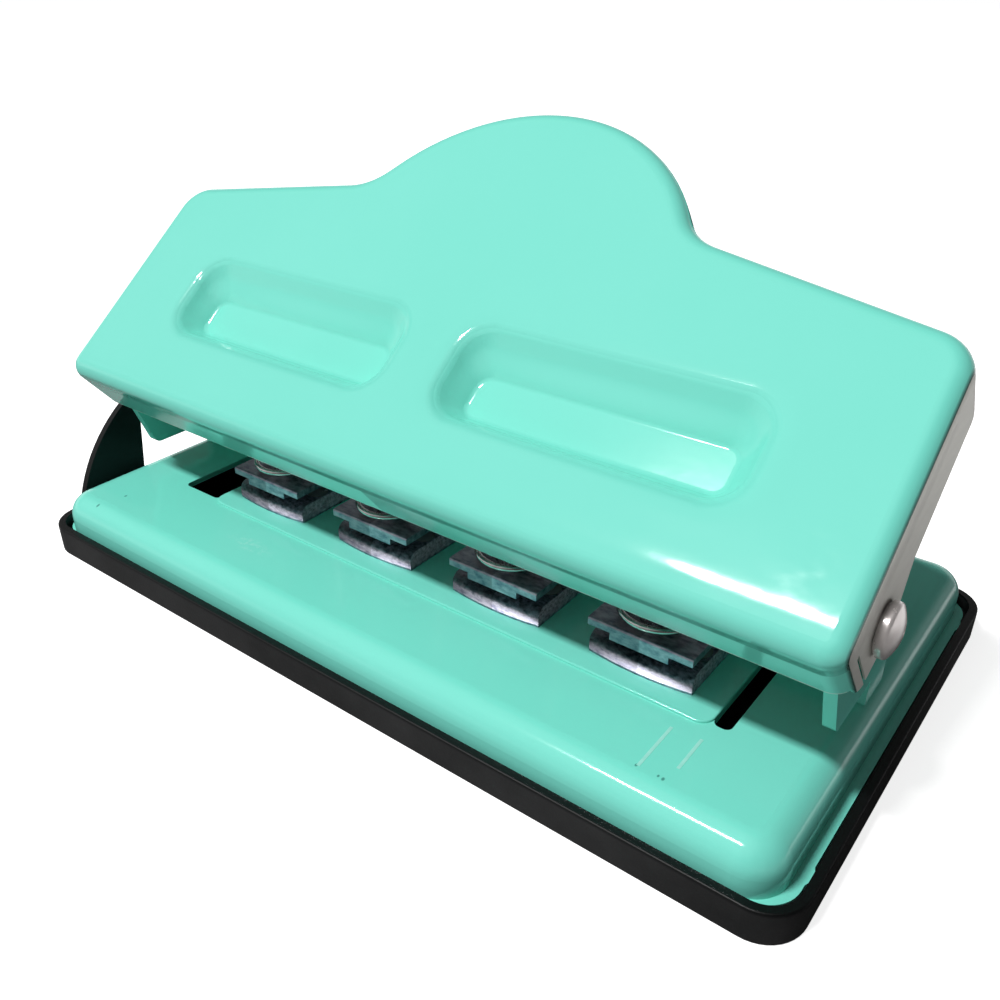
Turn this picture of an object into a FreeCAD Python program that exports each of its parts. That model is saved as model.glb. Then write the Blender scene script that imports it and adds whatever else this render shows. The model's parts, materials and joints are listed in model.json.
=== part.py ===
import FreeCAD, Part

import math
import os
from types import SimpleNamespace

import Sketcher
from FreeCAD import Placement, Rotation, Vector

# Four-hole disc binding punch: a pressed steel handle on two rivets pushes four
# sprung punches, whose mushroom-shaped blades cut open slots along a sheet's edge.
# The waste falls through the base plate into the black tray that it stands in.
# Frame: millimetres, +X to the right, +Y to the back, +Z up, with the origin under
# the middle of the tray. The handle is at rest, fully raised.

SIZES = [
    # Tray
    ("tray_wall", 1.3, "thickness of the tray's rim"),
    ("tray_height", 5.2, "table to the top of the rim"),
    ("tray_corner", 5.9, "outer corner radius in plan"),
    ("tray_floor", 1.2, "thickness of the tray's floor"),
    ("tray_edge", 0.3, "rounding of the outer edges, top and bottom"),
    ("foot_rise", 0.6, "relief of the underside inside the foot band"),
    ("foot_band", 6.0, "width of the band that the tray stands on"),
    ("ledge_step", 1.2, "height of the ledge above the floor"),
    ("ledge_width", 3.0, "width of the ledge that carries the base plate"),
    ("tray_gap", 0.45, "clearance from the rim to the base plate"),
    ("fin_front", -32.7, "front foot of the paper fin"),
    ("fin_back", -18.9, "rear foot of the paper fin"),
    ("fin_tip_front", -19.6, "front of the fin's tip"),
    ("fin_tip_back", -16.8, "back of the fin's tip"),
    ("fin_height", 22.6, "top of the fin above the table"),
    ("fin_radius", 31.0, "radius of the fin's front edge"),
    ("fin_round", 1.1, "rounding of the fin's tip"),
    # Base plate
    ("plate_length", 141.7, "base plate along X"),
    ("plate_width", 75.8, "base plate along Y"),
    ("plate_depth", 7.9, "ledge to the top of the base plate"),
    ("plate_sheet", 1.0, "sheet of the base plate"),
    ("plate_corner", 5.2, "corner radius in plan"),
    ("plate_bend", 4.0, "outer radius of the folded edge"),
    ("platform_rise", 0.4, "height of the embossed platform"),
    ("platform_length", 97.9, "platform along X"),
    ("platform_shift", 4.2, "middle of the platform from the middle of the base"),
    ("platform_front", -22.2, "front edge of the platform"),
    ("platform_back", -1.6, "back edge of the platform"),
    ("platform_round", 2.2, "corner radius of the platform"),
    ("platform_soft", 0.25, "rounding of the platform's upper edge"),
    ("slot_front", -21.2, "front end of both slots"),
    ("slot_back", -2.6, "back end of both slots"),
    ("slot_left_width", 9.1, "width of the left slot"),
    ("slot_right_width", 2.5, "width of the right slot"),
    ("slot_round", 1.0, "corner radius of the slots"),
    ("end_flange", 1.4, "how far the flat flange at each end stands out"),
    ("lug_place", 30.2, "lugs on the end flanges, from the middle"),
    ("lug_width", 4.6, "length of a lug"),
    ("lug_fit", 0.09, "clearance from a lug to the tray's rim"),
    # Punch units
    ("pin_pitch", 24.7, "hole to hole"),
    ("unit_shift", 3.7, "middle of the four units from the middle of the base"),
    ("unit_width", 16.0, "frame and die along X"),
    ("unit_front", 6.4, "pin axis to the front edge"),
    ("unit_back", 7.1, "pin axis to the inner face of the frame's back"),
    ("lip_bow", 0.7, "how far the front lip stands forward in the middle"),
    ("frame_sheet", 1.2, "sheet of the frame"),
    ("frame_bend", 0.8, "inner bend radius of the frame"),
    ("leg_soft", 0.35, "rounding of the guide leg's front edge"),
    ("die_thick", 1.8, "thickness of the die plate"),
    ("die_lip", 1.5, "rounding of the die plate's front edge"),
    ("throat_height", 2.0, "die plate to the guide leg"),
    ("boss_drop", 1.1, "depth of the guide boss under the guide leg"),
    ("boss_width", 9.0, "width of the guide boss"),
    ("stop_place", 4.6, "pin axis to the paper stop"),
    ("seat_gap", 0.05, "clearance where one fixed piece sits in another"),
    ("cut_past", 1.0, "how far a cut runs past the metal"),
    # Punch pins
    ("head_radius", 3.2, "round part of the mushroom section"),
    ("stem_width", 3.2, "stem of the mushroom section"),
    ("stem_reach", 4.9, "pin axis to the end of the stem"),
    ("pin_gap", 0.06, "running clearance of the pin in guide and die"),
    ("chip_gap", 0.5, "clearance of the waste holes under the die"),
    ("tip_inset", 0.15, "how far the blade's end stands inside the guide boss"),
    ("blade_length", 6.8, "length of the mushroom section"),
    ("shank_radius", 3.0, "round shank and dome"),
    ("groove_radius", 2.3, "bottom of the clip's groove"),
    ("groove_drop", 0.9, "dome centre down to the clip"),
    # Springs, seats and clips
    ("wire", 1.0, "spring wire diameter"),
    ("coil_radius", 6.0, "middle of the wire to the pin axis"),
    ("coil_turns", 6.0, "open turns"),
    ("end_pitch", 1.5, "rise of the turn at each end"),
    ("seat_sheet", 0.8, "thickness of the spring seat"),
    ("seat_radius", 6.6, "outer radius of the spring seat"),
    ("collar_radius", 4.6, "outer radius of the seat's collar"),
    ("collar_depth", 1.3, "depth of the seat's collar"),
    ("clip_sheet", 0.6, "thickness of the clip"),
    ("clip_radius", 4.7, "outer radius of the clip"),
    ("clip_mouth", 4.0, "opening of the clip"),
    # Handle
    ("handle_length", 139.5, "handle along X"),
    ("handle_sheet", 1.2, "sheet of the handle"),
    ("handle_rise", 9.35, "pivot to the handle's top face"),
    ("handle_front", 8.9, "pivot to the front skirt"),
    ("handle_corner", 3.0, "front corner radius in plan"),
    ("handle_bend", 2.5, "outer radius of the edge all round"),
    ("shoulder_place", 45.9, "pivot to where the shoulders' lines would meet in the middle"),
    ("shoulder_slope", 10.8, "slope of the shoulders, degrees"),
    ("shoulder_round", 6.0, "radius of the shoulder corners"),
    ("hump_top", 58.6, "pivot to the top of the palm hump"),
    ("hump_radius", 32.7, "radius of the hump"),
    ("hump_slope", 55.0, "steepest slope of the hump's sides, degrees"),
    ("hump_blend", 9.0, "radius between the hump and the shoulders"),
    ("skirt_edge", 1.3, "pivot down to the front skirt's lower edge"),
    ("back_edge", 1.0, "pivot down to the back rim's lower edge"),
    ("ear_drop", 4.8, "pivot down to the lowest point of the end flanges"),
    ("relief_width", 0.6, "slit at each front corner"),
    ("relief_height", 6.5, "height of the slit above the skirt's edge"),
    ("recess_inner", 5.0, "middle to the near end of a recess"),
    ("recess_outer", 52.3, "middle to the far end of a recess"),
    ("recess_front", 4.2, "pivot to the front of a recess"),
    ("recess_back", 19.2, "pivot to the back of a recess"),
    ("recess_depth", 4.1, "depth of a recess"),
    ("recess_side", 3.7, "run of the end walls"),
    ("recess_near", 2.4, "run of the front wall"),
    ("recess_far", 5.9, "run of the back wall"),
    ("recess_round", 5.0, "corner radius at the top"),
    ("recess_floor_round", 2.0, "corner radius at the floor"),
    ("rim_soft", 2.4, "rounding of a recess's rim"),
    ("floor_soft", 1.0, "rounding round a recess's floor"),
    # Pivot
    ("tilt", 38.7, "slope of the handle at rest, degrees"),
    ("pivot_place", -18.1, "pivot along Y"),
    ("pivot_height", 20.4, "platform to the pivot"),
    ("pin_lever", 5.5, "pivot to the pins along Y"),
    ("rest_gap", 0.3, "pin domes to the handle at rest"),
    ("pivot_radius", 2.5, "rivet shank"),
    ("pivot_gap", 0.06, "running clearance of handle and washer on the rivet"),
    ("rivet_head", 3.4, "radius of the rivet's head"),
    ("rivet_dome", 2.3, "height of the rivet's head"),
    ("rivet_neck", 2.95, "radius of the collar under the rivet's head"),
    ("rivet_collar", 0.35, "height of that collar"),
    ("rivet_side", 0.95, "height of the head's straight side"),
    ("rivet_soft", 0.5, "rounding of the head's shoulder"),
    ("tail_radius", 3.7, "radius of the rivet's formed end"),
    ("tail_height", 1.1, "height of the rivet's formed end"),
    ("washer_thick", 1.0, "washer between handle and bracket"),
    ("washer_radius", 4.6, "outer radius of the washer"),
    ("side_gap", 0.05, "play on each side of the washer"),
    # Pivot bracket
    ("bracket_sheet", 1.7, "sheet of the bracket"),
    ("bracket_eye", 5.2, "radius of the ears round the pivot"),
    ("bracket_nose", -18.1, "lower front corner of the ears"),
    ("bracket_lift", 4.0, "paper gap under the ears"),
    ("bracket_root", -5.9, "front of the ears' root on the plate"),
    ("bracket_wall", 2.0, "front face of the bracket's back wall"),
    ("wall_height", 9.2, "height of the back wall"),
    ("bracket_bend", 1.5, "inner bend radius"),
    ("foot_depth", 7.5, "depth of the bracket's foot"),
    ("foot_inset", 6.45, "outer face of an ear to the end of the foot"),
    # Small rivets
    ("foot_rivet_inset", 9.0, "end of the foot to the first rivet"),
    ("foot_rivet_radius", 1.6, "shank of the foot rivets"),
    ("foot_rivet_head", 2.9, "head of the foot rivets"),
    ("unit_rivet_edge", 2.05, "side of a unit to its rivets"),
    ("unit_rivet_radius", 1.1, "shank of the unit rivets"),
    ("countersink", 0.7, "countersink of the unit rivets"),
    ("tail_spread", 0.8, "how far the small rivets' formed ends spread"),
    ("small_tail", 0.8, "height of the small rivets' formed ends"),
]

UNITS = 4
FOOT_RIVETS = 4


class Size:
    """A length or angle that knows its number and its spreadsheet expression."""

    def __init__(self, value, text):
        self.value = float(value)
        self.text = text

    def __add__(self, other):
        other = as_size(other)
        return Size(self.value + other.value, f"({self.text} + {other.text})")

    def __sub__(self, other):
        other = as_size(other)
        return Size(self.value - other.value, f"({self.text} - {other.text})")

    def __mul__(self, other):
        other = as_size(other)
        return Size(self.value * other.value, f"({self.text} * {other.text})")

    def __truediv__(self, other):
        other = as_size(other)
        return Size(self.value / other.value, f"({self.text} / {other.text})")

    def __neg__(self):
        return Size(-self.value, f"(0 - {self.text})")


def as_size(number):
    return number if isinstance(number, Size) else Size(number, repr(float(number)))


def cosine(angle):
    return Size(math.cos(math.radians(angle.value)), f"cos({angle.text})")


def sine(angle):
    return Size(math.sin(math.radians(angle.value)), f"sin({angle.text})")


def tangent(angle):
    return Size(math.tan(math.radians(angle.value)), f"tan({angle.text})")


doc = FreeCAD.newDocument("disc_binding_punch")
sheet = doc.addObject("Spreadsheet::Sheet", "sizes")
for row, (alias, number, note) in enumerate(SIZES, 1):
    sheet.set(f"A{row}", alias)
    sheet.set(f"B{row}", str(number))
    sheet.set(f"C{row}", note)
    sheet.setAlias(f"B{row}", alias)
doc.recompute()
s = SimpleNamespace(**{alias: Size(number, "sizes." + alias) for alias, number, _ in SIZES})


# Features

def bind(thing, name, size):
    size = as_size(size)
    thing.setExpression(name, size.text)


def new_body(name, x=0, y=0, z=0, turn=None):
    body = doc.addObject("PartDesign::Body", name)
    body.Label = name
    place = Vector(as_size(x).value, as_size(y).value, as_size(z).value)
    angle = turn.value if turn else 0
    body.Placement = Placement(place, Rotation(Vector(1, 0, 0), angle))
    bind(body, "Placement.Base.x", x)
    bind(body, "Placement.Base.y", y)
    bind(body, "Placement.Base.z", z)
    if turn:
        bind(body, "Placement.Rotation.Angle", turn)
    return body


def origin_plane(body, role):
    return [part for part in body.Origin.OriginFeatures if part.Role == role][0]


def new_sketch(body, name, role="XY_Plane", at=0):
    sketch = body.newObject("Sketcher::SketchObject", name)
    sketch.AttachmentSupport = [(origin_plane(body, role), "")]
    sketch.MapMode = "FlatFace"
    bind(sketch, "AttachmentOffset.Base.z", at)
    return sketch


def dimension(sketch, kind, *where):
    *ids, size = where
    size = as_size(size)
    index = sketch.addConstraint(Sketcher.Constraint(kind, *ids, size.value))
    sketch.setExpression(f"Constraints[{index}]", size.text)


def locate(sketch, shape, end, x, y):
    dimension(sketch, "DistanceX", -1, 1, shape, end, x)
    dimension(sketch, "DistanceY", -1, 1, shape, end, y)


def circle(sketch, x, y, radius):
    centre = Vector(as_size(x).value, as_size(y).value, 0)
    shape = sketch.addGeometry(Part.Circle(centre, Vector(0, 0, 1), as_size(radius).value))
    dimension(sketch, "Radius", shape, radius)
    locate(sketch, shape, 3, x, y)


def arc_between(centre, start, end, left_turn):
    first, last = (start, end) if left_turn else (end, start)
    low = math.atan2(first.y - centre.y, first.x - centre.x)
    high = math.atan2(last.y - centre.y, last.x - centre.x)
    if high <= low:
        high += 2 * math.pi
    ring = Part.Circle(centre, Vector(0, 0, 1), (start - centre).Length)
    return Part.ArcOfCircle(ring, low, high)


def outline(sketch, *nodes):
    # A closed outline. A node is (x, y), (x, y, corner radius), or
    # (x, y, arc radius, "left" or "right") where an arc runs on to the next node,
    # bulging to the right or the left of the way there.
    count = len(nodes)
    spots = [Vector(as_size(node[0]).value, as_size(node[1]).value, 0) for node in nodes]
    rounds = [node[2] if len(node) == 3 else None for node in nodes]
    starts, ends, centres, turns = list(spots), list(spots), {}, {}
    for i, radius in enumerate(rounds):
        if radius is None:
            continue
        back = (spots[i - 1] - spots[i]).normalize()
        on = (spots[(i + 1) % count] - spots[i]).normalize()
        half = back.getAngle(on) / 2
        reach = as_size(radius).value / math.tan(half)
        ends[i] = spots[i] + back * reach
        starts[i] = spots[i] + on * reach
        middle = (back + on).normalize()
        centres[i] = spots[i] + middle * (as_size(radius).value / math.sin(half))
        turns[i] = back.cross(on).z < 0
    sides, arcs = [], {}
    for i, node in enumerate(nodes):
        start, end = starts[i], ends[(i + 1) % count]
        if len(node) < 4:
            sides.append((sketch.addGeometry(Part.LineSegment(start, end)), 1, 2))
            continue
        radius, bulge = as_size(node[2]).value, node[3]
        chord = end - start
        height = math.sqrt(max(radius ** 2 - chord.Length ** 2 / 4, 0))
        across = Vector(-chord.y, chord.x, 0).normalize()
        left_turn = bulge == "right"
        centre = (start + end) / 2 + across * (height if left_turn else -height)
        shape = sketch.addGeometry(arc_between(centre, start, end, left_turn))
        dimension(sketch, "Radius", shape, node[2])
        sides.append((shape, 1, 2) if left_turn else (shape, 2, 1))
    for i, radius in enumerate(rounds):
        if radius is None:
            continue
        shape = sketch.addGeometry(arc_between(centres[i], ends[i], starts[i], turns[i]))
        arcs[i] = (shape, 1, 2) if turns[i] else (shape, 2, 1)
    for i, node in enumerate(nodes):
        before, _, before_end = sides[i - 1]
        after, after_start, _ = sides[i]
        if i not in arcs:
            join = Sketcher.Constraint("Coincident", before, before_end, after, after_start)
            sketch.addConstraint(join)
            locate(sketch, after, after_start, node[0], node[1])
            continue
        arc, arc_start, arc_end = arcs[i]
        sketch.addConstraint(Sketcher.Constraint("Tangent", before, before_end, arc, arc_start))
        sketch.addConstraint(Sketcher.Constraint("Tangent", arc, arc_end, after, after_start))
        dimension(sketch, "Radius", arc, node[2])
        corner = sketch.addGeometry(Part.Point(spots[i]), True)
        sketch.addConstraint(Sketcher.Constraint("PointOnObject", corner, 1, before))
        sketch.addConstraint(Sketcher.Constraint("PointOnObject", corner, 1, after))
        locate(sketch, corner, 1, node[0], node[1])


def box_outline(sketch, left, right, front, back, radius=None):
    corners = [(left, front), (right, front), (right, back), (left, back)]
    outline(sketch, *[corner if radius is None else corner + (radius,) for corner in corners])


def centred_outline(sketch, length, width, radius):
    box_outline(sketch, -length / 2, length / 2, -width / 2, width / 2, radius)


def mushroom(sketch, gap):
    # The hole that the paper gets: a round head with a stem that opens at the edge.
    radius, half, reach = s.head_radius + gap, s.stem_width / 2 + gap, s.stem_reach + gap
    side = math.sqrt(radius.value ** 2 - half.value ** 2)
    left, right = Vector(-half.value, side, 0), Vector(half.value, side, 0)
    head = sketch.addGeometry(arc_between(Vector(0, 0, 0), left, right, True))
    corners = [right, Vector(half.value, reach.value, 0), Vector(-half.value, reach.value, 0)]
    lines = []
    for start, end in zip(corners, corners[1:] + [left]):
        lines.append(sketch.addGeometry(Part.LineSegment(start, end)))
    ring = [(head, 1, 2)] + [(line, 1, 2) for line in lines]
    for (one, _, one_end), (two, two_start, _) in zip(ring, ring[1:] + ring[:1]):
        sketch.addConstraint(Sketcher.Constraint("Coincident", one, one_end, two, two_start))
    sketch.addConstraint(Sketcher.Constraint("Coincident", head, 3, -1, 1))
    dimension(sketch, "Radius", head, radius)
    locate(sketch, lines[1], 1, half, reach)
    locate(sketch, lines[1], 2, -half, reach)
    sketch.addConstraint(Sketcher.Constraint("Vertical", lines[0]))
    sketch.addConstraint(Sketcher.Constraint("Vertical", lines[2]))


def pad(body, name, sketch, length, both_ways=False, down=False):
    feature = body.newObject("PartDesign::Pad", name)
    feature.Profile = sketch
    feature.SideType = "Symmetric" if both_ways else "One side"
    feature.Reversed = down
    bind(feature, "Length", length)
    return feature


def pocket(body, name, sketch, length, both_ways=False, up=False):
    feature = body.newObject("PartDesign::Pocket", name)
    feature.Profile = sketch
    feature.SideType = "Symmetric" if both_ways else "One side"
    feature.Reversed = up
    bind(feature, "Length", length)
    return feature


def revolve(body, name, sketch, axis="V_Axis"):
    feature = body.newObject("PartDesign::Revolution", name)
    feature.Profile = sketch
    feature.ReferenceAxis = (sketch, [axis])
    feature.Angle = 360
    return feature


def edges_where(feature, test):
    doc.recompute()
    return [f"Edge{i}" for i, edge in enumerate(feature.Shape.Edges, 1) if test(edge)]


def dress(body, kind, name, feature, edges, size, value="Radius"):
    dressed = body.newObject("PartDesign::" + kind, name)
    dressed.Base = (feature, edges)
    bind(dressed, value, size)
    return dressed


def near(number, size, slack=0.01):
    return abs(number - as_size(size).value) < slack


def lies_at_height(edge, size):
    box = edge.BoundBox
    return near(box.ZMin, size) and near(box.ZMax, size)


# Heights and places that several pieces share

ledge_top = s.foot_rise + s.tray_floor + s.ledge_step
plate_top = ledge_top + s.plate_depth
platform_top = plate_top + s.platform_rise
platform_under = platform_top - s.plate_sheet
tray_length = s.plate_length + (s.tray_gap + s.tray_wall) * 2
tray_width = s.plate_width + (s.tray_gap + s.tray_wall) * 2
platform_left = s.platform_shift - s.platform_length / 2
platform_right = s.platform_shift + s.platform_length / 2
pin_place = s.pivot_place + s.pin_lever
pivot_top = platform_top + s.pivot_height
first_unit = s.unit_shift - s.pin_pitch * ((UNITS - 1) / 2)
# Heights above the platform, for the punch units
die_top = s.frame_sheet + s.die_thick
guide_under = die_top + s.throat_height
guide_top = guide_under + s.frame_sheet
blade_tip = guide_under - s.boss_drop + s.tip_inset
unit_inner_back = s.unit_back - s.frame_bend - s.seat_gap
unit_rivet_place = s.unit_width / 2 - s.unit_rivet_edge
press_face = s.handle_rise - s.recess_depth - s.handle_sheet
dome_centre = (s.pivot_height + s.pin_lever * tangent(s.tilt)
               + (press_face - s.shank_radius - s.rest_gap) / cosine(s.tilt))
clip_top = dome_centre - s.groove_drop
seat_top = clip_top - s.clip_sheet
spring_top = seat_top - s.seat_sheet
# Widths from the middle, for the pivot
handle_half = s.handle_length / 2
ear_outer = handle_half - s.handle_sheet - s.side_gap * 2 - s.washer_thick
ear_inner = ear_outer - s.bracket_sheet
foot_half = ear_outer - s.foot_inset


def unit_place(number):
    return first_unit + s.pin_pitch * number


# Tray

def make_tray():
    body = new_body("base_tray")
    plan = new_sketch(body, "tray_plan")
    centred_outline(plan, tray_length, tray_width, s.tray_corner)
    shell = pad(body, "tray_block", plan, s.tray_height)
    edges = edges_where(shell, lambda edge: lies_at_height(edge, 0)
                        or lies_at_height(edge, s.tray_height))
    shell = dress(body, "Fillet", "tray_edges", shell, edges, s.tray_edge)
    rim = new_sketch(body, "tray_inside", at=s.tray_height)
    inner_corner = s.tray_corner - s.tray_wall
    centred_outline(rim, tray_length - s.tray_wall * 2, tray_width - s.tray_wall * 2, inner_corner)
    pocket(body, "tray_mouth", rim, s.tray_height - ledge_top)
    well = new_sketch(body, "tray_well_plan", at=ledge_top)
    inset = (s.tray_wall + s.ledge_width) * 2
    centred_outline(well, tray_length - inset, tray_width - inset, s.tray_corner / 2)
    pocket(body, "tray_well", well, s.ledge_step)
    relief = new_sketch(body, "tray_relief_plan")
    inset = s.foot_band * 2
    centred_outline(relief, tray_length - inset, tray_width - inset, s.tray_corner / 2)
    pocket(body, "tray_relief", relief, s.foot_rise, up=True)
    side = new_sketch(body, "fin_side", "YZ_Plane", -tray_length / 2)
    root = s.tray_height - s.ledge_step
    outline(side, (s.fin_front, root, s.fin_radius, "left"), (s.fin_tip_front, s.fin_height),
            (s.fin_tip_back, s.fin_height), (s.fin_back, root))
    fin = pad(body, "paper_fin", side, s.tray_wall)
    tips = edges_where(fin, lambda edge: near(edge.BoundBox.ZMin, s.fin_height)
                       and edge.BoundBox.XLength > s.tray_wall.value / 2)
    dress(body, "Fillet", "fin_tip", fin, tips, s.fin_round)
    return body


# Base plate

def make_base_plate():
    body = new_body("base_plate")
    wall_length = s.plate_length - s.end_flange * 2
    plan = new_sketch(body, "plate_plan", at=ledge_top)
    centred_outline(plan, wall_length, s.plate_width, s.plate_corner)
    block = pad(body, "plate_block", plan, s.plate_depth)
    upper = edges_where(block, lambda edge: lies_at_height(edge, plate_top))
    folded = dress(body, "Fillet", "plate_folded_edge", block, upper, s.plate_bend)
    doc.recompute()
    under = [f"Face{i}" for i, face in enumerate(folded.Shape.Faces, 1)
             if near(face.BoundBox.ZMax, ledge_top)]
    shell = body.newObject("PartDesign::Thickness", "plate_shell")
    shell.Base = (folded, under)
    shell.Mode = 0
    shell.Join = 0
    shell.Reversed = True
    bind(shell, "Value", s.plate_sheet)
    for name, low, step in (("platform", plate_top, s.platform_rise),
                            ("platform_hollow", plate_top - s.plate_sheet, s.platform_rise)):
        side = s.platform_rise if name == "platform_hollow" else as_size(0)
        face = new_sketch(body, name + "_plan", at=low)
        box_outline(face, platform_left + side, platform_right - side,
                    s.platform_front + side, s.platform_back - side, s.platform_round)
        if name == "platform":
            raised = pad(body, name, face, step)
            rims = edges_where(raised, lambda edge: lies_at_height(edge, platform_top))
            dress(body, "Fillet", "platform_edge", raised, rims, s.platform_soft)
        else:
            pocket(body, name, face, step, up=True)
    slots = new_sketch(body, "slot_plan", at=platform_top)
    box_outline(slots, platform_left - s.slot_left_width, platform_left,
                s.slot_front, s.slot_back, s.slot_round)
    box_outline(slots, platform_right, platform_right + s.slot_right_width,
                s.slot_front, s.slot_back, s.slot_round)
    pocket(body, "slots", slots, s.plate_sheet * 3)
    # The end walls run out into a flat flange on the tray's ledge. Its ring lies inside the
    # front and back walls, and its lugs centre the plate in the tray.
    ring = new_sketch(body, "flange_plan", at=ledge_top)
    for length, inset in ((s.plate_length, s.plate_sheet * 0.3),
                          (wall_length - s.plate_sheet * 1.4, s.plate_sheet * 0.7)):
        centred_outline(ring, length, s.plate_width - inset * 2, s.plate_corner - inset)
    pad(body, "end_flanges", ring, s.plate_sheet)
    lugs = new_sketch(body, "lug_plan", at=ledge_top)
    root = s.plate_length / 2 - s.plate_sheet * 0.5
    rise = s.tray_gap - s.lug_fit + s.plate_sheet * 0.5
    radius = s.lug_width * s.lug_width / (rise * 8) + rise / 2
    for end in (-1, 1):
        for way in (-1, 1):
            low, high = s.lug_place * way - s.lug_width / 2, s.lug_place * way + s.lug_width / 2
            first, second = (low, high) if end == 1 else (high, low)
            outline(lugs, (root * end, first, radius, "right"), (root * end, second))
    pad(body, "lugs", lugs, s.plate_sheet)
    for number in range(UNITS):
        # The waste hole follows the blade, so its sketch sits on the unit's own axis.
        hole = new_sketch(body, f"waste_plan_{number + 1}", at=platform_top)
        bind(hole, "AttachmentOffset.Base.x", unit_place(number))
        bind(hole, "AttachmentOffset.Base.y", pin_place)
        mushroom(hole, s.chip_gap)
        pocket(body, f"waste_hole_{number + 1}", hole, s.plate_sheet * 3)
    drill = new_sketch(body, "plate_rivet_plan", at=platform_top)
    for number in range(UNITS):
        for way in (-1, 1):
            circle(drill, unit_place(number) + unit_rivet_place * way, pin_place,
                   s.unit_rivet_radius + s.seat_gap)
    for number in range(FOOT_RIVETS):
        circle(drill, foot_rivet_place(number), foot_rivet_row, s.foot_rivet_radius + s.seat_gap)
    pocket(body, "rivet_holes", drill, s.plate_sheet * 3)
    return body


foot_rivet_span = (foot_half - s.foot_rivet_inset) * 2
foot_rivet_row = s.bracket_wall + s.bracket_sheet + s.foot_depth / 2 + s.bracket_bend / 2


def foot_rivet_place(number):
    return foot_rivet_span * (number / (FOOT_RIVETS - 1) - 0.5)


# Pivot bracket

def make_bracket():
    body = new_body("pivot_bracket")
    side = new_sketch(body, "ear_side", "YZ_Plane")
    lift = plate_top + s.bracket_lift
    top = plate_top + s.wall_height
    wall_back = s.bracket_wall + s.bracket_sheet
    crown = pivot_top + s.bracket_eye
    nose = s.pivot_place - s.bracket_eye
    tail = s.pivot_place + s.bracket_eye
    round_eye = s.bracket_eye * 0.98
    outline(side, (s.bracket_nose, lift, s.bracket_bend),
            (nose, pivot_top - s.bracket_eye / 2, s.bracket_bend),
            (nose, crown, round_eye), (tail, crown, round_eye), (s.bracket_wall, top),
            (wall_back, top), (wall_back, plate_top), (s.bracket_root, plate_top),
            (s.bracket_root, lift))
    block = pad(body, "ear_block", side, ear_outer * 2, both_ways=True)
    bends = edges_where(block, lambda edge: edge.BoundBox.ZLength > s.wall_height.value / 2
                        and near(edge.BoundBox.YMin, wall_back)
                        and near(edge.BoundBox.YMax, wall_back))
    bent = dress(body, "Fillet", "bracket_corners", block, bends, s.bracket_bend + s.bracket_sheet)
    inside = new_sketch(body, "bracket_inside_plan", at=crown + s.cut_past)
    front = nose - s.bracket_sheet
    outline(inside, (-ear_inner, front), (ear_inner, front),
            (ear_inner, s.bracket_wall, s.bracket_bend),
            (-ear_inner, s.bracket_wall, s.bracket_bend))
    pocket(body, "bracket_inside", inside, s.pivot_height * 2)
    foot = new_sketch(body, "foot_plan", at=plate_top)
    box_outline(foot, -foot_half, foot_half, s.bracket_wall + s.bracket_sheet / 2,
                wall_back + s.foot_depth, s.bracket_bend / 2)
    footed = pad(body, "foot", foot, s.bracket_sheet)
    fold = edges_where(footed, lambda edge: lies_at_height(edge, plate_top + s.bracket_sheet)
                       and near(edge.BoundBox.YMin, wall_back)
                       and near(edge.BoundBox.YMax, wall_back)
                       and edge.BoundBox.XLength > foot_half.value)
    folded = dress(body, "Fillet", "foot_fold", footed, fold, s.bracket_bend * 0.6)
    eyes = new_sketch(body, "eye_side", "YZ_Plane")
    circle(eyes, s.pivot_place, pivot_top, s.pivot_radius + s.seat_gap)
    pocket(body, "eyes", eyes, s.handle_length, both_ways=True)
    drill = new_sketch(body, "foot_rivet_plan", at=plate_top + s.bracket_sheet)
    for number in range(FOOT_RIVETS):
        circle(drill, foot_rivet_place(number), foot_rivet_row, s.foot_rivet_radius + s.seat_gap)
    pocket(body, "foot_rivet_holes", drill, s.bracket_sheet * 2)
    return body


# Punch units

def unit_body(name, number):
    return new_body(f"{name}_{number + 1}", unit_place(number), pin_place, platform_top)


def rivet_holes(body, name, top, depth):
    drill = new_sketch(body, name + "_plan", at=top)
    for way in (-1, 1):
        circle(drill, unit_rivet_place * way, 0, s.unit_rivet_radius + s.seat_gap)
    return pocket(body, name, drill, depth)


def make_frame(number):
    body = unit_body("punch_frame", number)
    half = s.unit_width / 2
    side = new_sketch(body, "frame_side", "YZ_Plane")
    back = s.unit_back + s.frame_sheet
    outer = s.frame_bend + s.frame_sheet
    outline(side, (-s.unit_front, 0), (back, 0, outer), (back, guide_top, outer),
            (-s.unit_front, guide_top, s.leg_soft), (-s.unit_front, guide_under),
            (s.unit_back, guide_under, s.frame_bend), (s.unit_back, s.frame_sheet, s.frame_bend),
            (-s.unit_front, s.frame_sheet))
    pad(body, "frame_strip", side, s.unit_width, both_ways=True)
    lip = new_sketch(body, "lip_plan")
    bow = lip_radius()
    edge = s.lip_bow - s.unit_front
    outline(lip, (-half, edge, bow, "right"), (half, edge),
            (half, -s.unit_front - s.cut_past), (-half, -s.unit_front - s.cut_past))
    pocket(body, "lip", lip, s.frame_sheet, up=True)
    boss = new_sketch(body, "boss_plan", at=guide_under)
    box_outline(boss, -s.boss_width / 2, s.boss_width / 2, -s.unit_front, s.stop_place - s.seat_gap)
    pad(body, "guide_boss", boss, s.boss_drop, down=True)
    guide = new_sketch(body, "guide_plan", at=guide_top)
    mushroom(guide, s.pin_gap)
    pocket(body, "guide_hole", guide, s.frame_sheet + s.boss_drop + s.cut_past)
    waste = new_sketch(body, "waste_plan", at=s.frame_sheet)
    mushroom(waste, s.chip_gap)
    pocket(body, "waste_hole", waste, s.frame_sheet * 1.5)
    rivet_holes(body, "frame_rivet_holes", s.frame_sheet, s.frame_sheet * 1.5)
    return body


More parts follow.
